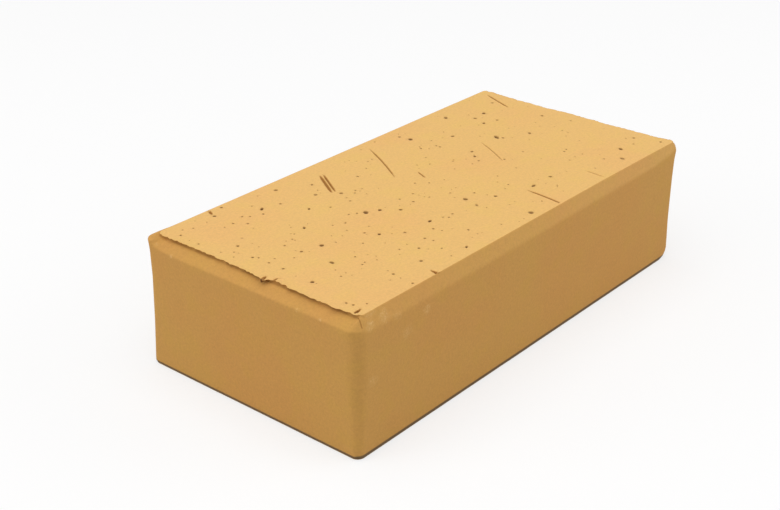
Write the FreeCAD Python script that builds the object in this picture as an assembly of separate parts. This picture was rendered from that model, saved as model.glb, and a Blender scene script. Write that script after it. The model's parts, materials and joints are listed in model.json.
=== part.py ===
"""Clinker paver: one solid block of fired clay, lying flat with its wearing face up.

The block is built as a stack of closed outlines, from the bed face to the wearing face.
Each outline is four straight edges joined by four corner curves, and neighbouring
outlines are joined by flat faces along the straights and ruled faces round the corners.

Frame: millimetres, +X along the length, +Z up, origin at the middle of the bed face.
"""
import FreeCAD
import Part

import math
import os

NODE = "clinker_paver"

# Overall size of the fired block.
LENGTH = 200.0
WIDTH = 100.0
HEIGHT = 52.0

# Upright corners, and the small worn arris round the bed face.
CORNER_RADIUS = 5.0
BED_ARRIS = 0.8

# Bevel along the two long top edges: steep, so it drops further than it runs in.
SIDE_BEVEL_RUN = 2.1
SIDE_BEVEL_DROP = 6.2

# Bevel along the two short top edges, and the lip of dragged clay that overhangs it.
END_BEVEL_RUN = 4.0
END_BEVEL_DROP = 4.8
LIP_OVERHANG = 0.8
LIP_ROOT_THICKNESS = 0.9
LIP_EDGE_THICKNESS = 0.4

# Corners of the wearing face, which are tighter than the upright corners below them.
WEARING_CORNER_RADIUS = 1.5

# Points that carry the shoulder curve round an upright corner, from one drop to the other.
SHOULDER_STATIONS = 9


def side_inset(depth):
    """Inset of the side bevel at a depth below the wearing face."""
    return SIDE_BEVEL_RUN * (1.0 - depth / SIDE_BEVEL_DROP)


def corner_curve(centre, radius, start_angle, start_z, end_z):
    """Quarter turn about a corner's centre: an arc, or a curve that also changes height."""

    def point(share):
        angle = start_angle + share * math.pi / 2.0
        ease = (1.0 - math.cos(math.pi * share)) / 2.0
        return FreeCAD.Vector(
            centre[0] + radius * math.cos(angle),
            centre[1] + radius * math.sin(angle),
            start_z + ease * (end_z - start_z),
        )

    if start_z == end_z:
        return Part.Arc(point(0.0), point(0.5), point(1.0)).toShape()
    curve = Part.BSplineCurve()
    last = SHOULDER_STATIONS - 1
    curve.interpolate([point(index / last) for index in range(SHOULDER_STATIONS)])
    return curve.toShape()


def outline(end_inset, across_inset, radius, end_z, side_z):
    """Closed outline as four corner curves, counter-clockwise from the (+X, -Y) corner.

    The straights at the ends lie at end_z and those along the sides at side_z.
    """
    centre_x = LENGTH / 2.0 - end_inset - radius
    centre_y = WIDTH / 2.0 - across_inset - radius
    corners = []
    for turn, (sign_x, sign_y) in enumerate(((1, -1), (1, 1), (-1, 1), (-1, -1))):
        starts_on_side = turn % 2 == 0
        start_z, end_of_turn_z = (side_z, end_z) if starts_on_side else (end_z, side_z)
        corners.append(corner_curve(
            (sign_x * centre_x, sign_y * centre_y),
            radius,
            (turn - 1) * math.pi / 2.0,
            start_z,
            end_of_turn_z,
        ))
    return corners


def ends_of(curve):
    """First and last point of a corner curve, in the direction it was drawn."""
    return curve.valueAt(curve.FirstParameter), curve.valueAt(curve.LastParameter)


def straight_quad(lower_corners, upper_corners, index):
    """Flat face between two outlines, along the straight that follows a corner."""
    following = (index + 1) % len(lower_corners)
    lower_start = ends_of(lower_corners[index])[1]
    lower_end = ends_of(lower_corners[following])[0]
    upper_start = ends_of(upper_corners[index])[1]
    upper_end = ends_of(upper_corners[following])[0]
    loop = [lower_start, lower_end, upper_end, upper_start, lower_start]
    return Part.Face(Part.makePolygon(loop))


def band(lower_corners, upper_corners):
    """Faces that join one outline to the next one up."""
    same_direction = 1
    faces = []
    for index in range(len(lower_corners)):
        lower, upper = lower_corners[index], upper_corners[index]
        faces.append(Part.makeRuledSurface(lower, upper, same_direction))
        faces.append(straight_quad(lower_corners, upper_corners, index))
    return faces


def cap(corners):
    """Flat face that fills a level outline."""
    edges = []
    for index, corner in enumerate(corners):
        following = corners[(index + 1) % len(corners)]
        edges.append(corner)
        edges.append(Part.makeLine(ends_of(corner)[1], ends_of(following)[0]))
    return Part.Face(Part.Wire(edges))


def level_outline(end_inset, across_inset, radius, depth):
    """Outline that lies flat at a depth below the wearing face."""
    height = HEIGHT - depth
    return outline(end_inset, across_inset, radius, height, height)


def build_paver():
    """Block from its bed face up: sides, shoulder, bevels, end lips and wearing face."""
    lip_inset = END_BEVEL_RUN - LIP_OVERHANG
    bed = level_outline(BED_ARRIS, BED_ARRIS, CORNER_RADIUS - BED_ARRIS, HEIGHT)
    foot = level_outline(0.0, 0.0, CORNER_RADIUS, HEIGHT - BED_ARRIS)
    shoulder = outline(
        0.0, 0.0, CORNER_RADIUS, HEIGHT - END_BEVEL_DROP, HEIGHT - SIDE_BEVEL_DROP
    )
    lip_root = level_outline(
        END_BEVEL_RUN, side_inset(LIP_ROOT_THICKNESS), WEARING_CORNER_RADIUS, LIP_ROOT_THICKNESS
    )
    lip_edge = level_outline(
        lip_inset, side_inset(LIP_EDGE_THICKNESS), WEARING_CORNER_RADIUS, LIP_EDGE_THICKNESS
    )
    wearing_face = level_outline(lip_inset, side_inset(0.0), WEARING_CORNER_RADIUS, 0.0)

    outlines = [bed, foot, shoulder, lip_root, lip_edge, wearing_face]
    faces = [cap(bed), cap(wearing_face)]
    for lower, upper in zip(outlines, outlines[1:]):
        faces.extend(band(lower, upper))

    skin = Part.makeCompound(faces)
    skin.sewShape()
    solid = Part.makeSolid(skin.Shells[0])
    if solid.Volume < 0.0:
        solid.reverse()
    return solid


def main():
    """Write the paver's one solid."""
    os.makedirs("parts", exist_ok=True)
    paver = build_paver()
    box = paver.BoundBox
    print(
        f"{NODE}: valid={paver.isValid()} closed={paver.isClosed()} "
        f"volume={paver.Volume:.1f} size={box.XLength:.3f} x {box.YLength:.3f} x {box.ZLength:.3f}"
    )
    paver.exportStep(f"parts/{NODE}.step")


main()
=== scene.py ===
"""Looks of a clinker paver: its fired skin, wire-cut faces, ragged end lips and a plain studio.

The block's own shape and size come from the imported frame. Sizes in the classes below are in
millimetres, and a mesh is turned into metres once, where it is handed to Blender.
"""
import json
import logging
import math
from dataclasses import dataclass, field, replace
from enum import Enum
from typing import Callable, Sequence

import bpy
import numpy as np
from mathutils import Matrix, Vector
from mathutils.geometry import delaunay_2d_cdt

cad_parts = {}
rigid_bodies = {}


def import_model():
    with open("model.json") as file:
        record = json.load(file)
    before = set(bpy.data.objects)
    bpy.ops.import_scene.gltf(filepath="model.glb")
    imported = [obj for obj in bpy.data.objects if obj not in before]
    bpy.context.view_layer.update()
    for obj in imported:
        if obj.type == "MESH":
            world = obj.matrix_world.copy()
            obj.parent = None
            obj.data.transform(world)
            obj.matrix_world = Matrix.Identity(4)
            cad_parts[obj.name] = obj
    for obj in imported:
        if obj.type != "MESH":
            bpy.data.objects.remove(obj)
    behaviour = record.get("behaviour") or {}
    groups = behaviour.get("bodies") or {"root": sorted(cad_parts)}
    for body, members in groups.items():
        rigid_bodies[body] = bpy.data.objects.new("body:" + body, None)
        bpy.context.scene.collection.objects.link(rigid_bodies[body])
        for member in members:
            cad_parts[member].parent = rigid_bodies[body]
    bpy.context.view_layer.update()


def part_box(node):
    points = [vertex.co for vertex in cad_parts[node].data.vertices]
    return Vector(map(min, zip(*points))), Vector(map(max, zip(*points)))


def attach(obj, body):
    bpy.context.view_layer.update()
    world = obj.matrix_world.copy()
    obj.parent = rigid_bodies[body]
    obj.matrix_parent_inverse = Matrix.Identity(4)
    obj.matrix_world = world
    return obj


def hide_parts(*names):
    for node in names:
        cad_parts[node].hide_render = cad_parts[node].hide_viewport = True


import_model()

NODE = "clinker_paver"
BODY = "root"
SEED = 5217
MM = 0.001
ON_POINTS = {"data_type": "FLOAT", "domain": "POINT"}

Pair = tuple[float, float]
Triple = tuple[float, float, float]
Row = tuple[float, ...]
Socket = bpy.types.NodeSocket
Node = bpy.types.Node

log = logging.getLogger("paver")


def linked(name: str, data: bpy.types.ID) -> bpy.types.Object:
    """A new object of the scene that shows some data."""
    obj = bpy.data.objects.new(name, data)
    bpy.context.scene.collection.objects.link(obj)
    return obj


def keep_numbers(mesh: bpy.types.Mesh, numbers: dict[str, Sequence[float]]) -> None:
    """Keeps named numbers on the points of a mesh."""
    for name, values in numbers.items():
        layer = mesh.attributes.new(name, "FLOAT", "POINT")
        layer.data.foreach_set("value", np.asarray(values, np.float32))


# --------------------------------------------------------------------------- node trees


def operator(operation: str, flipped: bool = False) -> Callable[..., "Number"]:
    """Makes a method that adds one Math node for a number and an operand.

    Args:
        operation: name of the Math node's operation.
        flipped: whether the operand comes first, as in 1 - mask.

    Returns:
        The method.
    """

    def work(self: "Number", other: "Number | float") -> "Number":
        """Works with one other operand."""
        operands = [other, self] if flipped else [self, other]
        return Number(self.graph, self.graph.made("ShaderNodeMath", operands, operation=operation))

    return work


class Number:
    """A number on a socket. Arithmetic on it adds the Math nodes that work it out."""

    def __init__(self, graph: "Graph", socket: Socket) -> None:
        """Keeps the socket and the graph that new nodes go into."""
        self.graph = graph
        self.socket = socket

    __add__ = __radd__ = operator("ADD")
    __mul__ = __rmul__ = operator("MULTIPLY")
    __sub__ = operator("SUBTRACT")
    __rsub__ = operator("SUBTRACT", flipped=True)
    __truediv__ = operator("DIVIDE")
    __rtruediv__ = operator("DIVIDE", flipped=True)
    most = operator("MAXIMUM")
    least = operator("MINIMUM")
    above = operator("GREATER_THAN")

    def ramp(self, low: float, high: float) -> "Number":
        """Eases from 0 at low to 1 at high, and stays there. Low may be above high."""
        flipped = low > high
        sockets = {"Value": self, "From Min": min(low, high), "From Max": max(low, high)}
        node = self.graph.add("ShaderNodeMapRange", sockets, interpolation_type="SMOOTHSTEP")
        rising = Number(self.graph, node.outputs["Result"])
        return 1.0 - rising if flipped else rising


class Graph:
    """A shader or geometry node tree that is built from Python."""

    def __init__(self, tree: bpy.types.NodeTree) -> None:
        """Empties the tree, ready to be built."""
        self.tree = tree
        tree.nodes.clear()

    def add(self, kind: str, sockets: dict | list | None = None, **settings: object) -> Node:
        """Adds a node, sets it up and feeds its sockets.

        Args:
            kind: the node's type.
            sockets: values or links, by socket name or in socket order.
            settings: properties set first, because they decide which sockets exist.

        Returns:
            The new node.
        """
        node = self.tree.nodes.new(kind)
        for name, setting in settings.items():
            setattr(node, name, setting)
        shown = [socket for socket in node.inputs if socket.enabled]
        if isinstance(sockets, dict):
            pairs = [(next(s for s in shown if s.name == n), v) for n, v in sockets.items()]
        else:
            pairs = list(zip(shown, sockets or []))
        for socket, feed in pairs:
            self.feed(socket, feed)
        return node

    def made(self, kind: str, sockets: dict | list | None = None, **settings: object) -> Socket:
        """Adds a node as add does, and gives its first output."""
        return self.add(kind, sockets, **settings).outputs[0]

    def feed(self, socket: Socket, feed: object) -> None:
        """Links a number or an output to a socket, or sets a plain value on it."""
        if isinstance(feed, Number):
            feed = feed.socket
        if isinstance(feed, Socket):
            self.tree.links.new(feed, socket)
        else:
            socket.default_value = feed

    def out(self, node: Node, name: str) -> Socket:
        """The node's live output of that name."""
        return next(s for s in node.outputs if s.enabled and s.name == name)

    def number(self, node: Node, name: str) -> Number:
        """The node's live output of that name, as a number."""
        return Number(self, self.out(node, name))

    def height(self, place: Socket) -> Number:
        """The Z coordinate of a place."""
        return self.number(self.add("ShaderNodeSeparateXYZ", [place]), "Z")

    def vector(self, operation: str, *operands: object) -> Socket:
        """Vector Math on vectors, with a vector result."""
        named = dict(zip(("Vector", "Scale"), operands)) if operation == "SCALE" else list(operands)
        node = self.add("ShaderNodeVectorMath", named, operation=operation)
        return node.outputs["Vector"]

    def measure(self, operation: str, *operands: object) -> Number:
        """Vector Math with a number as its result, such as LENGTH or DOT_PRODUCT."""
        node = self.add("ShaderNodeVectorMath", list(operands), operation=operation)
        return Number(self, node.outputs["Value"])

    def noise(
        self, place: Socket, grain: float, detail: float = 2.0, rough: float = 0.5
    ) -> Number:
        """Smooth noise from 0 to 1.

        Args:
            place: coordinates, in metres.
            grain: size of one blotch, in millimetres.
            detail: finer layers added.
            rough: strength of the finer layers.

        Returns:
            The noise, which averages a half.
        """
        sockets = {
            "Vector": place,
            "Scale": 1.0 / (grain * MM),
            "Detail": detail,
            "Roughness": rough,
        }
        return self.number(self.add("ShaderNodeTexNoise", sockets), "Fac")

    def blend(self, share: object, base: object, other: object, mode: str = "MIX") -> Socket:
        """Lays one colour over another.

        Args:
            share: how much of the other colour, from 0 to 1.
            base: colour underneath, as three numbers or an output.
            other: colour on top, as three numbers or an output.
            mode: blend type of the Mix node.

        Returns:
            The mixed colour.
        """
        settings = {"data_type": "RGBA", "blend_type": mode, "clamp_factor": True}
        sockets = {"Factor": share}
        for name, colour in (("A", base), ("B", other)):
            sockets[name] = (*colour, 1.0) if isinstance(colour, tuple) else colour
        return self.out(self.add("ShaderNodeMix", sockets, **settings), "Result")


# --------------------------------------------------------------------------- the block


@dataclass(frozen=True)
class Block:
    """Overall size of the fired block."""

    length: float
    width: float
    height: float

    @classmethod
    def from_frame(cls, node: str) -> "Block":
        """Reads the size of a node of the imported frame."""
        low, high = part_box(node)
        size = (high - low) / MM
        return cls(size.x, size.y, size.z)


@dataclass(frozen=True)
class Corner:
    """One upright corner, whose radius changes with depth below the wearing face."""

    sign_x: int
    sign_y: int
    depths: Row = (0.0, 5.5, 16.0, 34.0, 50.0)
    radii: Row = (1.4, 4.2, 5.0, 4.6, 3.8)

    def radius(self, depth: np.ndarray) -> np.ndarray:
        """Corner radius at each of some depths."""
        return np.interp(depth, self.depths, self.radii)


@dataclass(frozen=True)
class LongEdge:
    """Bevel along one long top edge. Stations run along X, from -1 to 1."""

    stations: Row
    runs: Row
    drops: Row
    crown: float = 0.35
    shoulder: float = 0.9

    def run(self, place: np.ndarray) -> np.ndarray:
        """How far in the wearing face starts, at places along the edge from -1 to 1."""
        return np.interp(place, self.stations, self.runs)

    def drop(self, place: np.ndarray) -> np.ndarray:
        """How far down the bevel reaches, at places along the edge from -1 to 1."""
        return np.interp(place, self.stations, self.drops)


@dataclass(frozen=True)
class EndEdge:
    """Bevel along one short top edge, under a ragged lip of dragged clay.

    Stations are millimetres along Y. A lip inset is how far in from the end the lip reaches. The
    root is the inner line of the undercut below the lip, where the bevel starts.
    """

    lip_stations: Row
    lip_insets: Row
    drop_stations: Row
    drops: Row
    seed: int
    root_inset: float = 4.7
    root_depth: float = 1.05
    lip_thickness: float = 0.18
    lip_lean: float = 0.08
    least_inset: float = 0.12
    least_drop: float = 0.07
    root_turn: float = 0.25
    ragged: float = 0.26
    teeth: tuple[Pair, ...] = ((9.0, 0.5), (3.4, 0.7), (1.5, 1.0), (0.9, 1.0))
    crown: float = 0.12
    shoulder: float = 0.7
    under_stations: Row = (-50.0, 50.0)
    under_shares: Row = (1.0, 1.0)

    def undercut(self, place: np.ndarray) -> np.ndarray:
        """How much of the undercut there is below the lip, from 0 to 1, at places along Y."""
        return np.interp(place, self.under_stations, self.under_shares)

    def lip_inset(self, place: np.ndarray) -> np.ndarray:
        """Inset of the lip's torn edge at places along Y: the chosen stations and small teeth."""
        rng = np.random.default_rng(self.seed)
        torn = np.zeros_like(place)
        for wave, share in self.teeth:
            steps = np.arange(-60.0, 60.0, wave)
            torn += share * np.interp(place, steps, rng.uniform(-1.0, 1.0, len(steps)))
        return np.interp(place, self.lip_stations, self.lip_insets) + self.ragged * torn

    def bevel_drop(self, place: np.ndarray) -> np.ndarray:
        """Depth of the bevel's lower edge at places along Y."""
        return np.interp(place, self.drop_stations, self.drops)


def rounded_rows(
    stops: Sequence[np.ndarray],
    radii: Sequence[float | np.ndarray],
    spans: Sequence[int],
    turns: Sequence[int],
) -> np.ndarray:
    """Rows of points down a profile whose inner stops are rounded off.

    Args:
        stops: corner points of the profile, each one (columns, 2) as inset and depth.
        radii: how far from each inner stop its rounding starts.
        spans: pieces that each straight is divided into.
        turns: points round each inner stop, where 1 keeps it sharp.

    Returns:
        An array (rows, columns, 2).
    """

    def towards(start: np.ndarray, end: np.ndarray, reach: float | np.ndarray) -> np.ndarray:
        """The place that lies a reach, or under half the way, from one stop to another."""
        way = end - start
        length = np.maximum(np.linalg.norm(way, axis=1, keepdims=True), 1e-9)
        limit = np.minimum(np.broadcast_to(reach, len(start))[:, None], 0.45 * length)
        return start + way / length * limit

    rows = [stops[0]]
    last = len(stops) - 1
    for index in range(last):
        begin = stops[index]
        if index > 0 and turns[index - 1] > 1:
            begin = towards(stops[index], stops[index + 1], radii[index - 1])
        end = stops[index + 1]
        if index < last - 1 and turns[index] > 1:
            end = towards(stops[index + 1], stops[index], radii[index])
        rows += [begin + (end - begin) * step / spans[index] for step in range(1, spans[index])]
        if index == last - 1:
            rows.append(end)
        elif turns[index] == 1:
            rows.append(stops[index + 1])
        else:
            after = towards(stops[index + 1], stops[index + 2], radii[index])
            for share in np.linspace(0.0, 1.0, turns[index]):
                bend = (1.0 - share) ** 2 * end + 2.0 * share * (1.0 - share) * stops[index + 1]
                rows.append(bend + share**2 * after)
    return np.array(rows)


@dataclass
class Skirt:
    """Everything outside the two flat faces: lips, bevels, walls and the arris of the bed.

    It is a grid of rows down the profile and columns round the block, counter-clockwise from
    the (+X, -Y) corner. Rows 3 to 6 round the edge of the wearing face, row 7 ends the lip, rows
    9 to 11 are the root of the undercut, 12 to 18 the bevel, 19 to 24 its shoulder, 25 to 53 the
    wall and 54 to 58 the arris of the bed.
    """

    block: Block
    corners: tuple[Corner, ...]
    front: LongEdge
    back: LongEdge
    near_end: EndEdge
    far_end: EndEdge
    margin: float = 1.1
    arris_run: float = 0.45
    arris_rise: float = 1.2
    arris_turn: float = 0.15
    edge_share: float = 0.09
    root_share: float = 0.2
    side_root_turn: float = 0.2
    end_stop: float = 3.0
    side_stop: float = 5.0
    corner_columns: int = 15
    side_reach: float = 1.45
    long_columns: int = 190
    end_columns: int = 205
    spans: tuple[int, ...] = (3, 1, 2, 8, 30, 1)
    turns: tuple[int, ...] = (4, 1, 3, 6, 4)
    # Painted light on the long bevels: its rows, its share along X, its reach in from a side and its
    # clearance from the ends.
    lit_bevel_rows: Row = (3.0, 6.0, 19.0, 23.0)
    bevel_light: Row = (0.05, 0.14, 0.30)
    bevel_light_reach: Pair = (4.0, 2.5)
    bevel_light_clear: Pair = (1.5, 4.5)
    # Painted shade under the end lips: the rows it fades over, its strength on them, how far it keeps
    # from the sides and how far in from the ends it reaches.
    lip_rows: Row = (6.0, 7.0, 11.0, 12.0, 13.0)
    lip_fade: Row = (0.0, 0.5, 0.7, 0.1, 0.0)
    lip_ends: float = 3.5
    lip_reach: float = 6.0
    points: np.ndarray = field(init=False)
    strip: np.ndarray = field(init=False)
    down: np.ndarray = field(init=False)

    def build(self) -> None:
        """Works out the grid of points, and their places when the skirt is laid flat."""
        columns = [self._corner(index) for index in range(4)]
        grids = []
        for index in range(4):
            grids.append(columns[index])
            grids.append(self._straight(index, columns[index], columns[(index + 1) % 4]))
        self.points = np.concatenate(grids, axis=1)
        middle_row = self.points[len(self.points) // 2]
        steps = np.linalg.norm(np.roll(middle_row, -1, axis=0) - middle_row, axis=1)
        self.strip = np.concatenate([[0.0], np.cumsum(steps)])
        falls = np.linalg.norm(np.diff(self.points, axis=0), axis=2).mean(axis=1)
        self.down = np.concatenate([[0.0], np.cumsum(falls)])

    def flattened(self, origins: Sequence[Pair]) -> np.ndarray:
        """Where the corners of each grid face lie when the four sides are laid out flat.

        Args:
            origins: lower left place of each side, in the order +X, +Y, -X, -Y.

        Returns:
            An array (faces, 4, 2) in millimetres, in the order of the grid's faces.
        """
        rows, columns = self.points.shape[:2]
        half = self.corner_columns // 2
        starts = [half]
        for index in range(3):
            straight = self.end_columns if index % 2 == 0 else self.long_columns
            starts.append(starts[-1] + self.corner_columns + straight)
        starts = np.array(starts)
        column = np.arange(columns)
        side = np.searchsorted(starts, column, side="right") - 1
        wrapped = np.where(side < 0, self.strip[-1], 0.0)
        left = self.strip[:-1] + wrapped - self.strip[starts[side]]
        right = left + np.diff(self.strip)
        corner = np.array(origins)[side]
        flat = np.zeros((rows - 1, columns, 4, 2))
        height = self.down[-1]
        for place, (across, step) in enumerate(((left, 0), (left, 1), (right, 1), (right, 0))):
            flat[:, :, place, 0] = (corner[:, 0] + across)[None, :]
            up = height - self.down[step : step + rows - 1]
            flat[:, :, place, 1] = up[:, None] + corner[None, :, 1]
        return flat.reshape(-1, 4, 2)

    def lip_shade(self) -> np.ndarray:
        """How much painted shade each point (rows, columns) gets where a lip hides it: most in the
        undercut.
        """
        fade = np.interp(np.arange(len(self.points)), self.lip_rows, self.lip_fade)
        size = np.abs(self.points)
        at_end = size[:, :, 0] > self.block.length / 2.0 - self.lip_reach
        return fade[:, None] * (at_end & (size[:, :, 1] < self.block.width / 2.0 - self.lip_ends))

    def painted_bevel_light(self) -> np.ndarray:
        """How much painted light each point (rows, columns) gets on a long side's bevel, which it paints
        paler.
        """
        fade = np.interp(np.arange(len(self.points)), self.lit_bevel_rows, (0.0, 1.0, 1.0, 0.0))
        size = np.abs(self.points)
        from_side = self.block.width / 2.0 - size[:, :, 1]
        from_end = self.block.length / 2.0 - size[:, :, 0]
        beside = np.interp(-from_side, np.negative(self.bevel_light_reach), (0.0, 1.0))
        clear = np.interp(from_end, self.bevel_light_clear, (0.0, 1.0))
        growing = np.interp(self.points[:, :, 0] / self.block.length, (-0.5, 0.0, 0.5), self.bevel_light)
        return fade[:, None] * beside * clear * growing

    def _end(self, sign_x: int) -> EndEdge:
        """The edge at one end."""
        return self.far_end if sign_x > 0 else self.near_end

    def _side(self, sign_y: int) -> LongEdge:
        """The edge along one side."""
        return self.back if sign_y > 0 else self.front

    def _end_profile(self, edge: EndEdge, place: np.ndarray) -> np.ndarray:
        """Profile rows (rows, columns, 2) of an end, at places along Y."""
        lip = edge.lip_inset(place)
        under = edge.undercut(place)
        root = lip + edge.least_inset
        root += np.maximum(edge.root_inset - root, 0.0) * under
        root_depth = edge.lip_thickness + edge.least_drop
        root_depth += (edge.root_depth - root_depth) * under
        drop = edge.bevel_drop(place)
        level = np.zeros_like(place)
        stops = [
            np.stack([lip + self.margin, level], 1),
            np.stack([lip, level], 1),
            np.stack([lip + edge.lip_lean, level + edge.lip_thickness], 1),
            np.stack([root, root_depth], 1),
            np.stack([level, drop], 1),
            *self._arris(level),
        ]
        radii = (edge.crown, 0.0, edge.root_turn, edge.shoulder, self.arris_turn)
        return rounded_rows(stops, radii, self.spans, self.turns)

    def _side_profile(self, edge: LongEdge, place: np.ndarray) -> np.ndarray:
        """Profile rows (rows, columns, 2) of a long side, at places along X."""
        share = place / (self.block.length / 2.0)
        run, drop = edge.run(share), edge.drop(share)
        level = np.zeros_like(place)

        def on_bevel(part: float) -> np.ndarray:
            """The place a part of the way down the bevel."""
            return np.stack([run * (1.0 - part), drop * part], 1)

        stops = [
            np.stack([run + self.margin, level], 1),
            on_bevel(0.0),
            on_bevel(self.edge_share),
            on_bevel(self.root_share),
            on_bevel(1.0),
            *self._arris(level),
        ]
        radii = (edge.crown, 0.0, self.side_root_turn, edge.shoulder, self.arris_turn)
        return rounded_rows(stops, radii, self.spans, self.turns)

    def _arris(self, level: np.ndarray) -> list[np.ndarray]:
        """The profile's last two stops, where the wall turns under to the bed."""
        return [
            np.stack([level, level + self.block.height - self.arris_rise], 1),
            np.stack([level + self.arris_run, level + self.block.height], 1),
        ]

    def _corner_profiles(self, corner: Corner) -> tuple[np.ndarray, np.ndarray]:
        """The end's and the side's profile rows where they meet at a corner."""
        end_place = np.array([corner.sign_y * (self.block.width / 2.0 - self.end_stop)])
        side_place = np.array([corner.sign_x * (self.block.length / 2.0 - self.side_stop)])
        end = self._end_profile(self._end(corner.sign_x), end_place)
        side = self._side_profile(self._side(corner.sign_y), side_place)
        return end, side

    def _corner(self, index: int) -> np.ndarray:
        """Points (rows, columns, 3) round one corner."""
        corner = self.corners[index]
        end, side = self._corner_profiles(corner)
        share = np.linspace(0.0, 1.0, self.corner_columns)
        endness = share if index % 2 == 0 else 1.0 - share
        endness = np.clip(endness * self.side_reach + 1.0 - self.side_reach, 0.0, 1.0)
        endness = endness * endness * (3.0 - 2.0 * endness)
        depth = end[:, :, 1] * endness + side[:, :, 1] * (1.0 - endness)
        radius = corner.radius(depth)
        angle = (index - 1 + share) * math.pi / 2.0
        across = corner.sign_x * (self.block.length / 2.0 - end[:, :, 0] - radius)
        along = corner.sign_y * (self.block.width / 2.0 - side[:, :, 0] - radius)
        return np.stack(
            [
                across + radius * np.cos(angle),
                along + radius * np.sin(angle),
                self.block.height - depth,
            ],
            axis=2,
        )

    def _straight(self, index: int, before: np.ndarray, after: np.ndarray) -> np.ndarray:
        """Points (rows, columns, 3) along the straight that follows a corner.

        Args:
            index: number of the corner before the straight.
            before: that corner's points.
            after: the next corner's points.

        Returns:
            The straight's points, without the corners' own.
        """
        is_end = index % 2 == 0
        count = self.end_columns if is_end else self.long_columns
        share = (np.arange(count) + 1.0) / (count + 1.0)
        axis = 1 if is_end else 0
        start, stop = before[:, -1:, axis], after[:, :1, axis]
        run = start + (stop - start) * share[None, :]
        place = run[len(run) // 2]
        corner = self.corners[index]
        if is_end:
            rows = self._end_profile(self._end(corner.sign_x), place)
            outward = corner.sign_x * (self.block.length / 2.0 - rows[:, :, 0])
            return np.stack([outward, run, self.block.height - rows[:, :, 1]], axis=2)
        rows = self._side_profile(self._side(corner.sign_y), place)
        outward = corner.sign_y * (self.block.width / 2.0 - rows[:, :, 0])
        return np.stack([run, outward, self.block.height - rows[:, :, 1]], axis=2)


# --------------------------------------------------------------------------- cut faces


class CutFace(Enum):
    """The two wire-cut faces, by the sign of their outward Z."""

    WEARING = 1
    BED = -1


@dataclass(frozen=True)
class Pit:
    """A small hole that the wire tore out of a cut face. Sizes in millimetres."""

    x: float
    y: float
    across: float
    depth: float
    stretch: float = 1.0
    turn: float = 60.0


@dataclass(frozen=True)
class DragMark:
    """A groove that a grain under the wire scored across a cut face."""

    start: Pair
    end: Pair
    width: float
    depth: float
    bow: float = 0.0

    def line(self, step: float) -> np.ndarray:
        """Points (count, 2) along the groove, about one step apart."""
        start, end = np.array(self.start), np.array(self.end)
        length = float(np.linalg.norm(end - start))
        share = np.linspace(0.0, 1.0, max(3, int(length / step) + 1))[:, None]
        side = np.array([-(end - start)[1], (end - start)[0]]) / length
        return start + (end - start) * share + side * self.bow * 4.0 * share * (1.0 - share)


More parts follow.
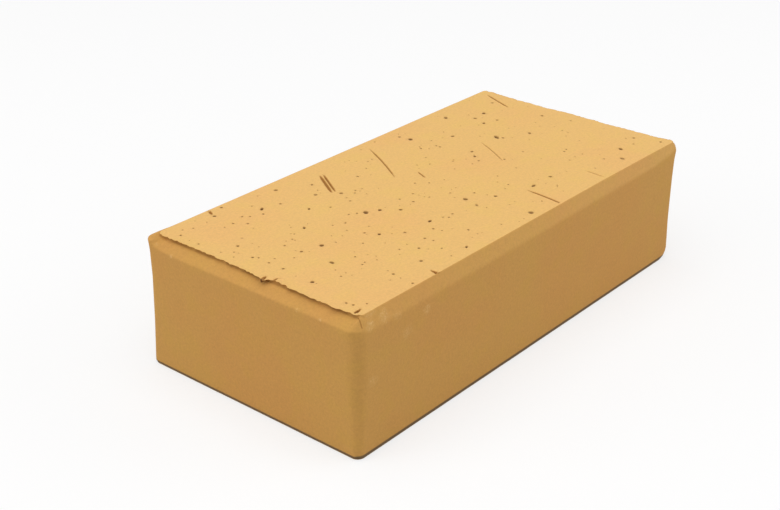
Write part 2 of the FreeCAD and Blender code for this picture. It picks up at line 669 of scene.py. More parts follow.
@dataclass
class FaceMesh:
    """Triangles of one cut face, close together round its pits and drag marks."""

    side: CutFace
    rim: np.ndarray
    pits: Sequence[Pit]
    marks: Sequence[DragMark]
    spacing: float
    seed: int
    jitter: float = 0.22
    rim_margin: float = 0.55
    widest_spacing: float = 1.2
    feature_margin: float = 0.25
    rim_depths: Pair = (4.0, 3.2)
    pit_rings: tuple[tuple[float, int], ...] = ((0.38, 6), (0.68, 9), (0.98, 12), (1.35, 12))
    mark_rows: Row = (-1.7, -1.1, -0.6, 0.0, 0.6, 1.1, 1.7)
    inner: np.ndarray = field(init=False)
    triangles: list[tuple[int, ...]] = field(init=False)

    def build(self) -> None:
        """Lays out the points and joins them into triangles.

        Rim points keep their own numbers, and inner points follow on from them.
        """
        close = np.concatenate([self._pit_points(), self._mark_points()])
        close = self._inside(close, self.feature_margin)
        self.inner = np.concatenate([self._clear_of_features(self._base_points()), close])
        flat = np.concatenate([self.rim[:, :2], self.inner])
        loop = list(range(len(self.rim)))
        made = delaunay_2d_cdt([Vector(p) for p in flat.tolist()], [], [loop], 1, 1e-6)
        places, _, faces, sources = made[:4]
        if len(places) != len(flat):
            log.info("%s face: %d points merged", self.side.name, len(flat) - len(places))
        number = [group[0] if group else -1 for group in sources]
        self.triangles = [tuple(number[v] for v in face) for face in faces]

    def _inside(self, points: np.ndarray, margin: float) -> np.ndarray:
        """Those points that lie within the rim by a margin."""
        rim = self.rim
        keep = np.ones(len(points), bool)
        for out, depth in enumerate(self.rim_depths):
            along = 1 - out
            for sign in (-1, 1):
                edge = rim[sign * rim[:, out] > np.abs(rim[:, out]).max() - depth]
                edge = edge[np.argsort(edge[:, along])]
                limit = np.interp(points[:, along], edge[:, along], edge[:, out])
                keep &= sign * points[:, out] < sign * limit - margin
        return points[keep]

    def _base_points(self) -> np.ndarray:
        """A jittered triangular grid over the whole face."""
        rng = np.random.default_rng(self.seed)
        reach = np.abs(self.rim[:, :2]).max(axis=0)
        row_height = self.spacing * math.sqrt(0.75)
        rows = np.arange(-reach[1], reach[1], row_height)
        grid = []
        for number, y in enumerate(rows):
            xs = np.arange(-reach[0], reach[0], self.spacing) + (number % 2) * self.spacing / 2.0
            grid.append(np.stack([xs, np.full_like(xs, y)], 1))
        points = np.concatenate(grid)
        points += rng.uniform(-self.jitter, self.jitter, points.shape) * self.spacing
        return self._inside(points, self.rim_margin * min(self.spacing, self.widest_spacing))

    def _pit_points(self) -> np.ndarray:
        """Rings of points round each pit, so that its wall has faces of its own."""
        rings = []
        for pit in self.pits:
            radius = pit.across / 2.0
            turn = math.radians(pit.turn)
            axis = np.array([[math.cos(turn), math.sin(turn)], [-math.sin(turn), math.cos(turn)]])
            rings.append(np.array([[pit.x, pit.y]]))
            for share, count in self.pit_rings:
                angle = np.arange(count) * 2.0 * math.pi / count + share * 3.0
                ring = np.stack([np.cos(angle) * pit.stretch, np.sin(angle)], 1) * radius * share
                rings.append(ring @ axis + [pit.x, pit.y])
        return np.concatenate(rings) if rings else np.zeros((0, 2))

    def _mark_points(self) -> np.ndarray:
        """Rows of points along and beside each drag mark."""
        rows = []
        for mark in self.marks:
            half = mark.width / 2.0
            line = mark.line(max(0.35, 0.8 * half))
            way = np.gradient(line, axis=0)
            way /= np.linalg.norm(way, axis=1, keepdims=True)
            side = np.stack([-way[:, 1], way[:, 0]], 1)
            for share in self.mark_rows:
                rows.append(line + side * half * share)
        return np.concatenate(rows) if rows else np.zeros((0, 2))

    def _clear_of_features(self, points: np.ndarray) -> np.ndarray:
        """Base points that are clear of every pit and mark."""
        keep = np.ones(len(points), bool)
        for pit in self.pits:
            gap = np.linalg.norm(points - [pit.x, pit.y], axis=1)
            keep &= gap > 0.8 * pit.across * pit.stretch
        for mark in self.marks:
            line = mark.line(0.5)
            near = np.abs(points - line.mean(axis=0)).max(axis=1) < np.ptp(line, axis=0).max() + 3.0
            for index in np.flatnonzero(near & keep):
                gap = np.linalg.norm(line - points[index], axis=1).min()
                keep[index] = gap > mark.width
        return points[keep]


def along_marks(marks: Sequence[DragMark]) -> list[Triple]:
    """Places that drag marks take up, about a millimetre apart, as x, y and reach."""
    return [(x, y, 2.0 * m.width) for m in marks for x, y in m.line(1.0).tolist()]


def free_of(place: np.ndarray, taken: list[Triple], reach: float) -> bool:
    """Whether a place is clear of every place taken, given as x, y and reach."""
    return all(math.hypot(place[0] - x, place[1] - y) > reach + r for x, y, r in taken)


@dataclass(frozen=True)
class PitDraw:
    """Small pits strewn at random over a cut face. Ranges are the least and the most."""

    count: int
    seed: int
    sizes: Pair
    margins: Pair = (7.0, 5.0)
    depths: Pair = (0.35, 0.8)
    stretches: Pair = (1.0, 1.6)
    turns: Pair = (35.0, 85.0)

    def draw(self, block: Block, taken: list[Triple]) -> list[Pit]:
        """Tries places one after another.

        Args:
            block: size of the block.
            taken: places already in use, as x, y and reach.

        Returns:
            The pits that found a free place.
        """
        rng = np.random.default_rng(self.seed)
        reach = np.array([block.length, block.width]) / 2.0 - self.margins
        least, most = self.sizes
        taken = list(taken)
        pits = []
        for _ in range(self.count):
            place = rng.uniform(-1.0, 1.0, 2) * reach
            across = least + (most - least) * rng.random() ** 2
            depth = across * rng.uniform(*self.depths)
            stretch = rng.uniform(*self.stretches)
            turn = rng.uniform(*self.turns)
            if free_of(place, taken, across):
                pits.append(Pit(place[0], place[1], across, depth, stretch, turn))
                taken.append((place[0], place[1], across))
        return pits


@dataclass(frozen=True)
class MarkDraw:
    """Drag marks scored at random across a cut face. Ranges are the least and the most."""

    count: int
    seed: int
    reach: Pair = (80.0, 34.0)
    limit: Pair = (92.0, 44.0)
    turns: Pair = (55.0, 70.0)
    lengths: Pair = (6.0, 22.0)
    widths: Pair = (0.5, 0.9)
    depths: Pair = (0.15, 0.4)

    def draw(self) -> list[DragMark]:
        """The drag marks."""
        rng = np.random.default_rng(self.seed)
        marks = []
        for _ in range(self.count):
            start = rng.uniform(-1.0, 1.0, 2) * self.reach
            turn = math.radians(rng.uniform(*self.turns))
            length = rng.uniform(*self.lengths)
            end = start + np.array([math.cos(turn), math.sin(turn)]) * length
            end = np.clip(end, np.negative(self.limit), self.limit)
            width, depth = rng.uniform(*self.widths), rng.uniform(*self.depths)
            marks.append(DragMark(tuple(start), tuple(end), width, depth))
        return marks


# --------------------------------------------------------------------------- relief


@dataclass(frozen=True)
class Relief:
    """Geometry Nodes tree that works the smooth skin: waves, pits and grooves.

    What lies above the middle, in millimetres, belongs to the wearing face, and the rest to the bed.
    """

    wave: float = 0.17
    wave_size: float = 34.0
    ripple: float = 0.06
    ripple_size: float = 4.5
    middle: float = 20.0

    def build(self) -> bpy.types.NodeTree:
        """Makes the tree, with its sizes as named inputs.

        Returns:
            The node group.
        """
        tree = bpy.data.node_groups.new("fired_skin_relief", "GeometryNodeTree")
        graph = Graph(tree)
        face = tree.interface
        face.new_socket("Skin", in_out="INPUT", socket_type="NodeSocketGeometry")
        face.new_socket("Pits", in_out="INPUT", socket_type="NodeSocketObject")
        face.new_socket("Marks", in_out="INPUT", socket_type="NodeSocketObject")
        for name in ("Height", "Wave", "Wave Size", "Ripple", "Ripple Size"):
            face.new_socket(name, in_out="INPUT", socket_type="NodeSocketFloat")
        face.new_socket("Clay", in_out="INPUT", socket_type="NodeSocketMaterial")
        face.new_socket("Skin", in_out="OUTPUT", socket_type="NodeSocketGeometry")
        given = graph.add("NodeGroupInput")

        place = graph.made("GeometryNodeInputPosition")
        outward = graph.made("GeometryNodeInputNormal")
        pit, pit_push = self._pits(graph, given, place)
        mark = self._marks(graph, given, place)
        waves = self._waves(graph, given, place)
        cut = Number(graph, graph.made("GeometryNodeInputNamedAttribute", {"Name": "cut"}))
        upward = graph.height(place).above(self.middle * MM) * 2.0 - 1.0
        push = (pit_push + mark) * cut * upward
        straight = graph.made("ShaderNodeCombineXYZ", {"Z": push})
        sunk = graph.vector("ADD", straight, graph.vector("SCALE", outward, waves))
        worked = graph.vector("ADD", place, graph.vector("SCALE", sunk, -MM))
        axes = graph.add("ShaderNodeSeparateXYZ", [worked])
        level = graph.number(axes, "Z").most(0.0).least(graph.number(given, "Height") * MM)
        parts = [axes.outputs["X"], axes.outputs["Y"], level]
        kept = graph.made("ShaderNodeCombineXYZ", parts)

        stream = given.outputs["Skin"]
        for name, value in (("pit", pit), ("mark", mark)):
            sockets = {"Geometry": stream, "Name": name, "Value": value}
            stream = graph.made("GeometryNodeStoreNamedAttribute", sockets, **ON_POINTS)
        finish = (
            ("GeometryNodeSetPosition", {"Position": kept}),
            ("GeometryNodeRealizeInstances", {}),
            ("GeometryNodeSetMaterial", {"Material": given.outputs["Clay"]}),
        )
        for kind, sockets in finish:
            stream = graph.made(kind, {"Geometry": stream, **sockets})
        graph.add("NodeGroupOutput", [stream])
        return tree

    def _nearest(
        self, graph: Graph, given: Node, name: str, place: Socket
    ) -> tuple[Socket, Number]:
        """Finds the nearest point of one of the helper objects.

        Args:
            graph: the tree.
            given: the group's inputs.
            name: input that holds the object.
            place: where to look from.

        Returns:
            The object's geometry and the point's number.
        """
        held = graph.add("GeometryNodeObjectInfo", {"Object": given.outputs[name]})
        cloud = held.outputs["Geometry"]
        sockets = {"Geometry": cloud, "Sample Position": place}
        nearest = graph.add("GeometryNodeSampleNearest", sockets, domain="POINT")
        return cloud, graph.number(nearest, "Index")

    def _sampled(self, graph: Graph, cloud: Socket, index: Number, name: str) -> Number:
        """A named number of the nearest point of a cloud."""
        held = graph.made("GeometryNodeInputNamedAttribute", {"Name": name})
        sockets = {"Geometry": cloud, "Value": held, "Index": index}
        return Number(graph, graph.made("GeometryNodeSampleIndex", sockets, **ON_POINTS))

    def _pits(self, graph: Graph, given: Node, place: Socket) -> tuple[Number, Number]:
        """Dark tint of the pits, partly stain and partly painted shade that grows with depth, and how
        far in they push, in millimetres.
        """
        cloud, index = self._nearest(graph, given, "Pits", place)
        held = graph.made("GeometryNodeInputPosition")
        sockets = {"Geometry": cloud, "Value": held, "Index": index}
        centre = graph.made("GeometryNodeSampleIndex", sockets, data_type="FLOAT_VECTOR", domain="POINT")
        radius, depth, stretch, turn_x, turn_y = (
            self._sampled(graph, cloud, index, name)
            for name in ("radius", "depth", "stretch", "turn_x", "turn_y")
        )
        away = graph.vector("SUBTRACT", place, centre)
        axis = graph.made("ShaderNodeCombineXYZ", {"X": turn_x, "Y": turn_y})
        along = graph.measure("DOT_PRODUCT", away, axis)
        squeezed = graph.vector(
            "SUBTRACT", away, graph.vector("SCALE", axis, along * (1.0 - 1.0 / stretch))
        )
        uneven = graph.noise(place, 0.9, 1.0) - 0.5
        gap = graph.measure("LENGTH", squeezed) / (radius * MM) + uneven * 0.55
        hole = gap.ramp(1.25, 0.55)
        return gap.ramp(1.4, 0.7) * (0.3 + depth).least(1.0), hole * depth

    def _marks(self, graph: Graph, given: Node, place: Socket) -> Number:
        """How far in the drag marks push, in millimetres; it also gives their tint, partly stain and
        partly painted shade.
        """
        lines, index = self._nearest(graph, given, "Marks", place)
        width = self._sampled(graph, lines, index, "width")
        depth = self._sampled(graph, lines, index, "depth")
        sockets = {"Geometry": lines, "Sample Position": place}
        reach = graph.add("GeometryNodeProximity", sockets, target_element="EDGES")
        uneven = graph.noise(place, 1.3, 1.0) - 0.5
        gap = graph.number(reach, "Distance") / (width * 0.5 * MM) + uneven * 0.5
        return gap.ramp(1.5, 0.5) * depth

    def _waves(self, graph: Graph, given: Node, place: Socket) -> Number:
        """Slow waves and small ripples of the skin, in millimetres inwards."""
        total = None
        for height, size, detail in (("Wave", "Wave Size", 1.0), ("Ripple", "Ripple Size", 2.0)):
            scale = 1.0 / (graph.number(given, size) * MM)
            sockets = {"Vector": place, "Scale": scale, "Detail": detail}
            noise = graph.add("ShaderNodeTexNoise", sockets)
            part = graph.number(noise, "Fac") * graph.number(given, height)
            total = part if total is None else total + part
        return total

    def settings(self) -> dict[str, float]:
        """Values of the tree's number inputs."""
        return {
            "Wave": self.wave,
            "Wave Size": self.wave_size,
            "Ripple": self.ripple,
            "Ripple Size": self.ripple_size,
        }


def modifier_applied(
    target: bpy.types.Object, tree: bpy.types.NodeTree, inputs: dict[str, object]
) -> bpy.types.Mesh:
    """Runs a Geometry Nodes tree on an object, and gives the plain mesh that comes out.

    Args:
        target: the object to work on.
        tree: node group to run.
        inputs: values by the names of the group's inputs.

    Returns:
        A mesh with no modifier behind it.
    """
    modifier = target.modifiers.new(tree.name, "NODES")
    modifier.node_group = tree
    for item in tree.interface.items_tree:
        if item.item_type == "SOCKET" and item.in_out == "INPUT" and item.name in inputs:
            modifier[item.identifier] = inputs[item.name]
    bpy.context.view_layer.update()
    graph = bpy.context.evaluated_depsgraph_get()
    mesh = bpy.data.meshes.new_from_object(
        target.evaluated_get(graph), preserve_all_data_layers=True, depsgraph=graph
    )
    target.modifiers.remove(modifier)
    return mesh


def point_object(
    name: str, points: list[Triple], edges: list[tuple[int, int]], numbers: dict[str, list[float]]
) -> bpy.types.Object:
    """A mesh of points in millimetres, with named numbers on them, for a tree to read.

    Args:
        name: name of the object.
        points: places of the points.
        edges: pairs of points that are joined.
        numbers: one value for each point, by name.

    Returns:
        The object.
    """
    mesh = bpy.data.meshes.new(name)
    mesh.from_pydata([[c * MM for c in p] for p in points], edges, [])
    keep_numbers(mesh, numbers)
    return linked(name, mesh)


# --------------------------------------------------------------------------- finish


@dataclass(frozen=True)
class Bloom:
    """A pale crust of dried salts and crumbs, centred on a point of the skin."""

    x: float
    y: float
    z: float
    across: float
    strength: float


@dataclass(frozen=True)
class Crack:
    """A hairline crack through a row of points, on skin that faces roughly one way."""

    points: tuple[Triple, ...]
    outward: Triple
    width: float


BLOOMS = (
    Bloom(-91.0, -47.6, 52.0, 5.5, 0.35),
    Bloom(-92.8, -49.4, 48.0, 3.8, 0.75),
    Bloom(-86.0, -49.2, 48.8, 5.0, 0.6),
    Bloom(-80.0, -49.9, 46.5, 4.0, 0.3),
    Bloom(-65.0, -50.0, 42.5, 3.8, 0.5),
    Bloom(-75.0, -50.0, 38.5, 5.0, 0.3),
    Bloom(-93.0, -49.7, 28.0, 5.0, 0.3),
    Bloom(-99.7, -34.0, 47.9, 1.6, 0.7),
    Bloom(-99.8, -24.0, 47.7, 2.0, 0.4),
    Bloom(-99.8, 36.0, 47.8, 1.5, 0.6),
    Bloom(-99.0, 44.0, 49.5, 1.6, 0.35),
    Bloom(-55.0, -43.0, 52.0, 4.0, 0.3),
    Bloom(-35.0, 27.5, 52.0, 2.2, 0.4),
)

CRACKS = (
    Crack(
        ((-95.9, -47.0, 51.2), (-96.0, -47.7, 50.3), (-96.4, -48.9, 48.5)),
        (-0.62, -0.62, 0.48),
        0.38,
    ),
)


@dataclass(frozen=True)
class FiredClay:
    """Buff clay, fired hard: sandy and matt, darker in its pits (partly painted shade), paler where it
    was cut.
    """

    die_skin: Triple = (0.595, 0.315, 0.079)
    cut_skin: Triple = (0.800, 0.488, 0.165)
    ochre: Triple = (0.92, 1.0, 0.78)
    rose: Triple = (1.02, 0.93, 1.0)
    # pit_floor and groove darken pits and drag marks more where they are deeper: partly stain, partly
    # painted shade.
    pit_floor: Triple = (0.130, 0.046, 0.007)
    groove: Triple = (0.36, 0.155, 0.028)
    lip_shade: Triple = (0.27, 0.112, 0.018)
    crust: Triple = (0.80, 0.53, 0.22)
    foot: Triple = (0.165, 0.100, 0.042)
    broad_size: float = 40.0
    mottle_size: float = 8.0
    sand_size: float = 1.0
    grit_size: float = 0.42
    broken_size: float = 6.0
    rose_share: float = 0.5
    ochre_share: float = 0.3
    crack_share: float = 0.75
    speckle: Triple = (0.26, 0.12, 0.08)
    least_foot: float = 0.1
    roughness: float = 0.82
    uneven_roughness: float = 0.12
    specular: float = 0.3
    grain: float = 0.6
    grain_height: float = 0.14

    def build(self) -> bpy.types.Material:
        """Makes the material.

        Returns:
            The material, which reads Object coordinates and the skin's own masks.
        """
        material = bpy.data.materials.new("fired_buff_clay")
        material.use_nodes = True
        graph = Graph(material.node_tree)
        place = graph.out(graph.add("ShaderNodeTexCoord"), "Object")
        cut, pit, mark, foot, lip, bevel_light = (
            self._mask(graph, name) for name in ("cut", "pit", "mark", "foot", "lip", "bevel_light")
        )
        broad = graph.noise(place, self.broad_size, 2.0).ramp(0.42, 0.68)
        mottle = graph.noise(place, self.mottle_size, 3.0)
        sand = graph.noise(place, self.sand_size, 3.0, 0.6)
        grit = graph.noise(place, self.grit_size, 1.0)
        crack = self._cracks(graph, place)
        bloom = self._blooms(graph, place, grit)

        # Painted light: the long sides' bevels blend towards the paler cut colour, more towards +X.
        colour = graph.blend(cut.most(bevel_light), self.die_skin, self.cut_skin)
        colour = graph.blend(broad * self.rose_share, colour, self.rose, "MULTIPLY")
        patchy = mottle.ramp(0.45, 0.7) * self.ochre_share
        colour = graph.blend(patchy, colour, self.ochre, "MULTIPLY")
        shade = 1.0
        for noise, share in zip((sand, grit, mottle), self.speckle):
            shade = shade + (noise - 0.5) * share
        shaded = graph.made("ShaderNodeCombineColor", [shade, shade, shade])
        colour = graph.blend(1.0, colour, shaded, "MULTIPLY")
        broken = graph.noise(place, self.broken_size, 2.0).ramp(0.3, 0.55) * 0.6 + 0.4
        # Painted contact shadow: a dark line along the base of the walls, up to the height the mask
        # gives.
        up = graph.height(place) / (foot.most(self.least_foot) * MM)
        dark_foot = up.ramp(1.0, 0.72) * foot.above(self.least_foot)
        layers = (
            (bloom, self.crust),
            # Painted shade: a dark line under the ragged lips at the ends, broken up by noise.
            (lip * broken, self.lip_shade),
            # Drag marks tinted by their depth: partly stain, partly painted shade.
            (mark.ramp(-0.02, 0.38), self.groove),
            # Marks deeper than half a millimetre turn towards the pit colour: painted shade in deep
            # slots and notches.
            (mark.ramp(0.5, 1.0), self.pit_floor),
            # Pits: partly stain, partly painted shade that is stronger in deep pits.
            (pit, self.pit_floor),
            (crack * self.crack_share, self.groove),
            # Painted contact shadow along the base of the walls.
            (dark_foot, self.foot),
        )
        for share, tint in layers:
            colour = graph.blend(share, colour, tint)

        relief = {
            "Strength": self.grain,
            "Distance": self.grain_height * MM,
            "Height": sand * 0.55 + grit * 0.35 + bloom * 0.4 - crack * 1.5,
        }
        skin = {
            "Base Color": colour,
            "Roughness": self.roughness + (sand - 0.5) * self.uneven_roughness,
            "Specular IOR Level": self.specular,
            "Normal": graph.made("ShaderNodeBump", relief),
        }
        shader = graph.made("ShaderNodeBsdfPrincipled", skin)
        graph.add("ShaderNodeOutputMaterial", {"Surface": shader})
        return material

    def _mask(self, graph: Graph, name: str) -> Number:
        """A mask that the skin carries."""
        return graph.number(graph.add("ShaderNodeAttribute", attribute_name=name), "Fac")

    def _blooms(self, graph: Graph, place: Socket, grit: Number) -> Number:
        """Mask of the pale crusts, broken up into crumbs."""
        crumbs = graph.noise(place, 0.7, 3.0, 0.75).ramp(0.47, 0.66)
        ragged = (graph.noise(place, 2.6, 2.0) - 0.5) * 1.8 + (grit - 0.5) * 0.5
        total = None
        for bloom in BLOOMS:
            centre = [c * MM for c in (bloom.x, bloom.y, bloom.z)]
            away = graph.measure("LENGTH", graph.vector("SUBTRACT", place, centre))
            near = (away / (bloom.across * 0.5 * MM) + ragged).ramp(1.3, 0.3)
            part = near * (crumbs * 0.85 + 0.15) * bloom.strength
            total = part if total is None else total.most(part)
        return total

    def _cracks(self, graph: Graph, place: Socket) -> Number:
        """Mask of the hairline cracks."""
        waver = (graph.noise(place, 0.9, 2.0) - 0.5) * (0.5 * MM)
        total = None
        for crack in CRACKS:
            ends = [Vector(p) * MM for p in crack.points]
            outward = Vector(crack.outward).normalized()
            for start, end in zip(ends, ends[1:]):
                way = end - start
                way -= outward * way.dot(outward)
                offset = graph.vector("SUBTRACT", place, list(start))
                lift = graph.measure("DOT_PRODUCT", offset, list(outward))
                away = graph.vector("SUBTRACT", offset, graph.vector("SCALE", list(outward), lift))
                along = graph.measure("DOT_PRODUCT", away, list(way / way.length_squared))
                held = along.most(0.0).least(1.0)
                off = graph.vector("SUBTRACT", away, graph.vector("SCALE", list(way), held))
                gap = graph.measure("LENGTH", off) + waver
                near = (lift / MM).ramp(-4.0, -2.5) * (lift / MM).ramp(3.0, 2.0)
                part = (gap / (crack.width * 0.5 * MM)).ramp(1.3, 0.5) * near
                total = part if total is None else total.most(part)
        return total


# --------------------------------------------------------------------------- the paver


WEARING_PITS = (
    Pit(-36.0, 1.6, 1.7, 0.9, 1.3, 50),
    Pit(-31.2, -1.0, 1.2, 0.7, 1.3, 40),
    Pit(-38.7, 3.5, 0.8, 0.5),
    Pit(-26.0, -6.6, 1.2, 0.9),
    Pit(-17.5, -5.6, 0.9, 0.5),
    Pit(-12.1, -1.0, 0.8, 0.4),
    Pit(-4.0, 4.7, 0.8, 0.4),
    Pit(-3.4, -19.0, 1.5, 1.1, 1.2, 75),
    Pit(6.0, -25.9, 1.2, 0.9),
    Pit(-5.0, -25.4, 0.9, 0.3, 2.2, 55),
    Pit(23.1, -31.2, 1.1, 0.9, 1.9, 10),
    Pit(34.4, -31.2, 1.2, 0.7),
    Pit(76.2, -36.9, 1.3, 0.8, 1.6, 50),
    Pit(68.0, -42.7, 1.3, 0.5, 1.5, 80),
    Pit(2.5, -44.4, 2.0, 0.5),
    Pit(-53.7, -38.5, 1.1, 0.9),
    Pit(-67.2, -37.5, 0.9, 0.6),
    Pit(-35.3, -43.7, 0.8, 0.9, 1.9, 35),
    Pit(-41.6, -37.9, 0.7, 0.5),
    Pit(-68.2, -46.6, 0.8, 0.6),
    Pit(-91.9, -41.6, 0.8, 0.6),
    Pit(-40.0, -20.1, 0.9, 0.6),
    Pit(-26.9, -20.9, 1.1, 0.7, 1.7, 15),
    Pit(-49.4, -9.4, 0.8, 0.5),
    Pit(-44.3, -7.0, 0.7, 0.3),
    Pit(-47.6, 1.1, 0.8, 0.5),
    Pit(-32.1, 12.6, 0.8, 0.3),
    Pit(-21.3, -22.6, 0.7, 0.4),
    Pit(-39.3, -28.5, 0.9, 0.5),
    Pit(-38.7, -31.9, 0.7, 0.4),
    Pit(-46.6, -31.8, 0.9, 0.6),
    Pit(-31.2, -25.9, 0.9, 0.5),
    Pit(-16.9, -23.4, 0.8, 0.5),
    Pit(-74.0, -16.2, 1.2, 1.0, 1.5, 80),
    Pit(-46.9, -14.1, 1.0, 0.7, 1.4, 30),
    Pit(-66.5, -4.7, 1.4, 0.9, 1.2, 20),
    Pit(-74.6, -2.7, 1.0, 0.7),
    Pit(-88.5, 6.9, 0.9, 0.7),
    Pit(-87.4, 5.1, 0.7, 0.6),
    Pit(-87.9, -6.9, 0.9, 0.6),
    Pit(-88.7, -20.9, 1.3, 0.6),
    Pit(-79.6, -25.4, 0.7, 0.5),
    Pit(-68.5, -25.1, 0.7, 0.5),
    Pit(-85.5, 17.1, 1.0, 0.8),
    Pit(-60.0, 9.7, 0.9, 0.8, 1.7, 50),
    Pit(-47.1, 19.4, 0.9, 0.7, 1.5, 40),
    Pit(-41.0, 14.4, 0.8, 0.5),
    Pit(-29.0, 19.9, 1.3, 0.5),
    Pit(-25.6, 16.0, 0.7, 0.5),
    Pit(-23.7, 17.5, 0.7, 0.5),
    Pit(-50.6, 30.6, 0.9, 0.7),
    Pit(-58.2, 32.6, 1.1, 0.7, 2.0, 35),
    Pit(-65.6, 31.2, 0.8, 0.5),
    Pit(-70.4, 27.5, 0.8, 0.6),
    Pit(-73.7, 31.6, 0.9, 0.5),
    Pit(-73.7, 41.2, 1.2, 0.8),
    Pit(-66.9, 44.7, 1.0, 0.8),
    Pit(-42.7, 40.6, 1.5, 0.4),
    Pit(-30.2, 33.7, 0.8, 0.5, 1.5, 50),
    Pit(-36.2, 26.2, 1.4, 0.4),
    Pit(-13.1, 25.6, 0.9, 0.6),
    Pit(29.1, 39.7, 1.0, 0.7),
    Pit(30.0, 34.6, 1.6, 0.7, 1.3, 40),
    Pit(58.7, 38.7, 1.5, 0.5, 1.5, 45),
    Pit(66.2, 28.7, 1.3, 0.5),
    Pit(73.5, 29.6, 1.3, 0.7, 1.4, 30),
    Pit(64.0, 22.5, 1.1, 0.6, 1.5, 30),
    Pit(70.6, 20.4, 1.1, 0.4),
    Pit(43.7, 23.4, 1.3, 0.7),
    Pit(31.2, 20.2, 1.0, 0.4),
    Pit(35.4, 7.2, 1.0, 0.8, 1.4, 20),
    Pit(32.2, 3.4, 1.0, 0.8, 1.6, 50),
    Pit(29.4, -0.6, 0.9, 0.6),
    Pit(54.5, 9.0, 1.5, 1.0, 2.1, 60),
    Pit(55.5, 6.5, 0.9, 0.8, 1.3, 60),
    Pit(66.9, 1.2, 1.1, 0.5, 1.5, 45),
    Pit(87.1, 8.7, 1.0, 0.5, 1.4, 40),
    Pit(37.2, -7.5, 0.9, 0.4),
    Pit(59.4, -21.0, 0.9, 0.4),
    Pit(90.0, -34.7, 1.1, 0.5),
    Pit(93.2, -45.4, 1.0, 0.6),
    Pit(86.2, 34.4, 1.2, 0.4),
)

WEARING_MARKS = (
    DragMark((-22.0, 37.0), (-30.5, 23.5), 1.05, 0.50),
    DragMark((-20.5, 36.5), (-29.0, 23.0), 0.90, 0.40),
    DragMark((10.8, 39.8), (-4.2, 14.6), 0.75, 0.30, 0.5),
    DragMark((5.2, 10.5), (2.9, 5.3), 0.6, 0.35),
    DragMark((45.6, 10.0), (35.6, -7.7), 0.6, 0.22, 0.4),
    DragMark((93.0, 42.0), (86.3, 26.0), 0.85, 0.33),
    DragMark((-71.7, 46.2), (-73.2, 43.2), 0.9, 0.5),
    DragMark((18.1, -32.6), (16.1, -48.6), 0.75, 0.55, 0.3),
    DragMark((48.2, -38.6), (47.6, -47.0), 0.6, 0.22),
    DragMark((-57.1, -45.8), (-57.2, -49.4), 0.9, 0.75),
    DragMark((-95.5, -45.5), (-93.2, -45.3), 0.8, 1.1),
    DragMark((-98.6, -7.0), (-96.0, -6.5), 1.0, 1.1),
    DragMark((-96.0, -10.5), (-94.0, -10.5), 0.6, 0.45, 0.3),
)


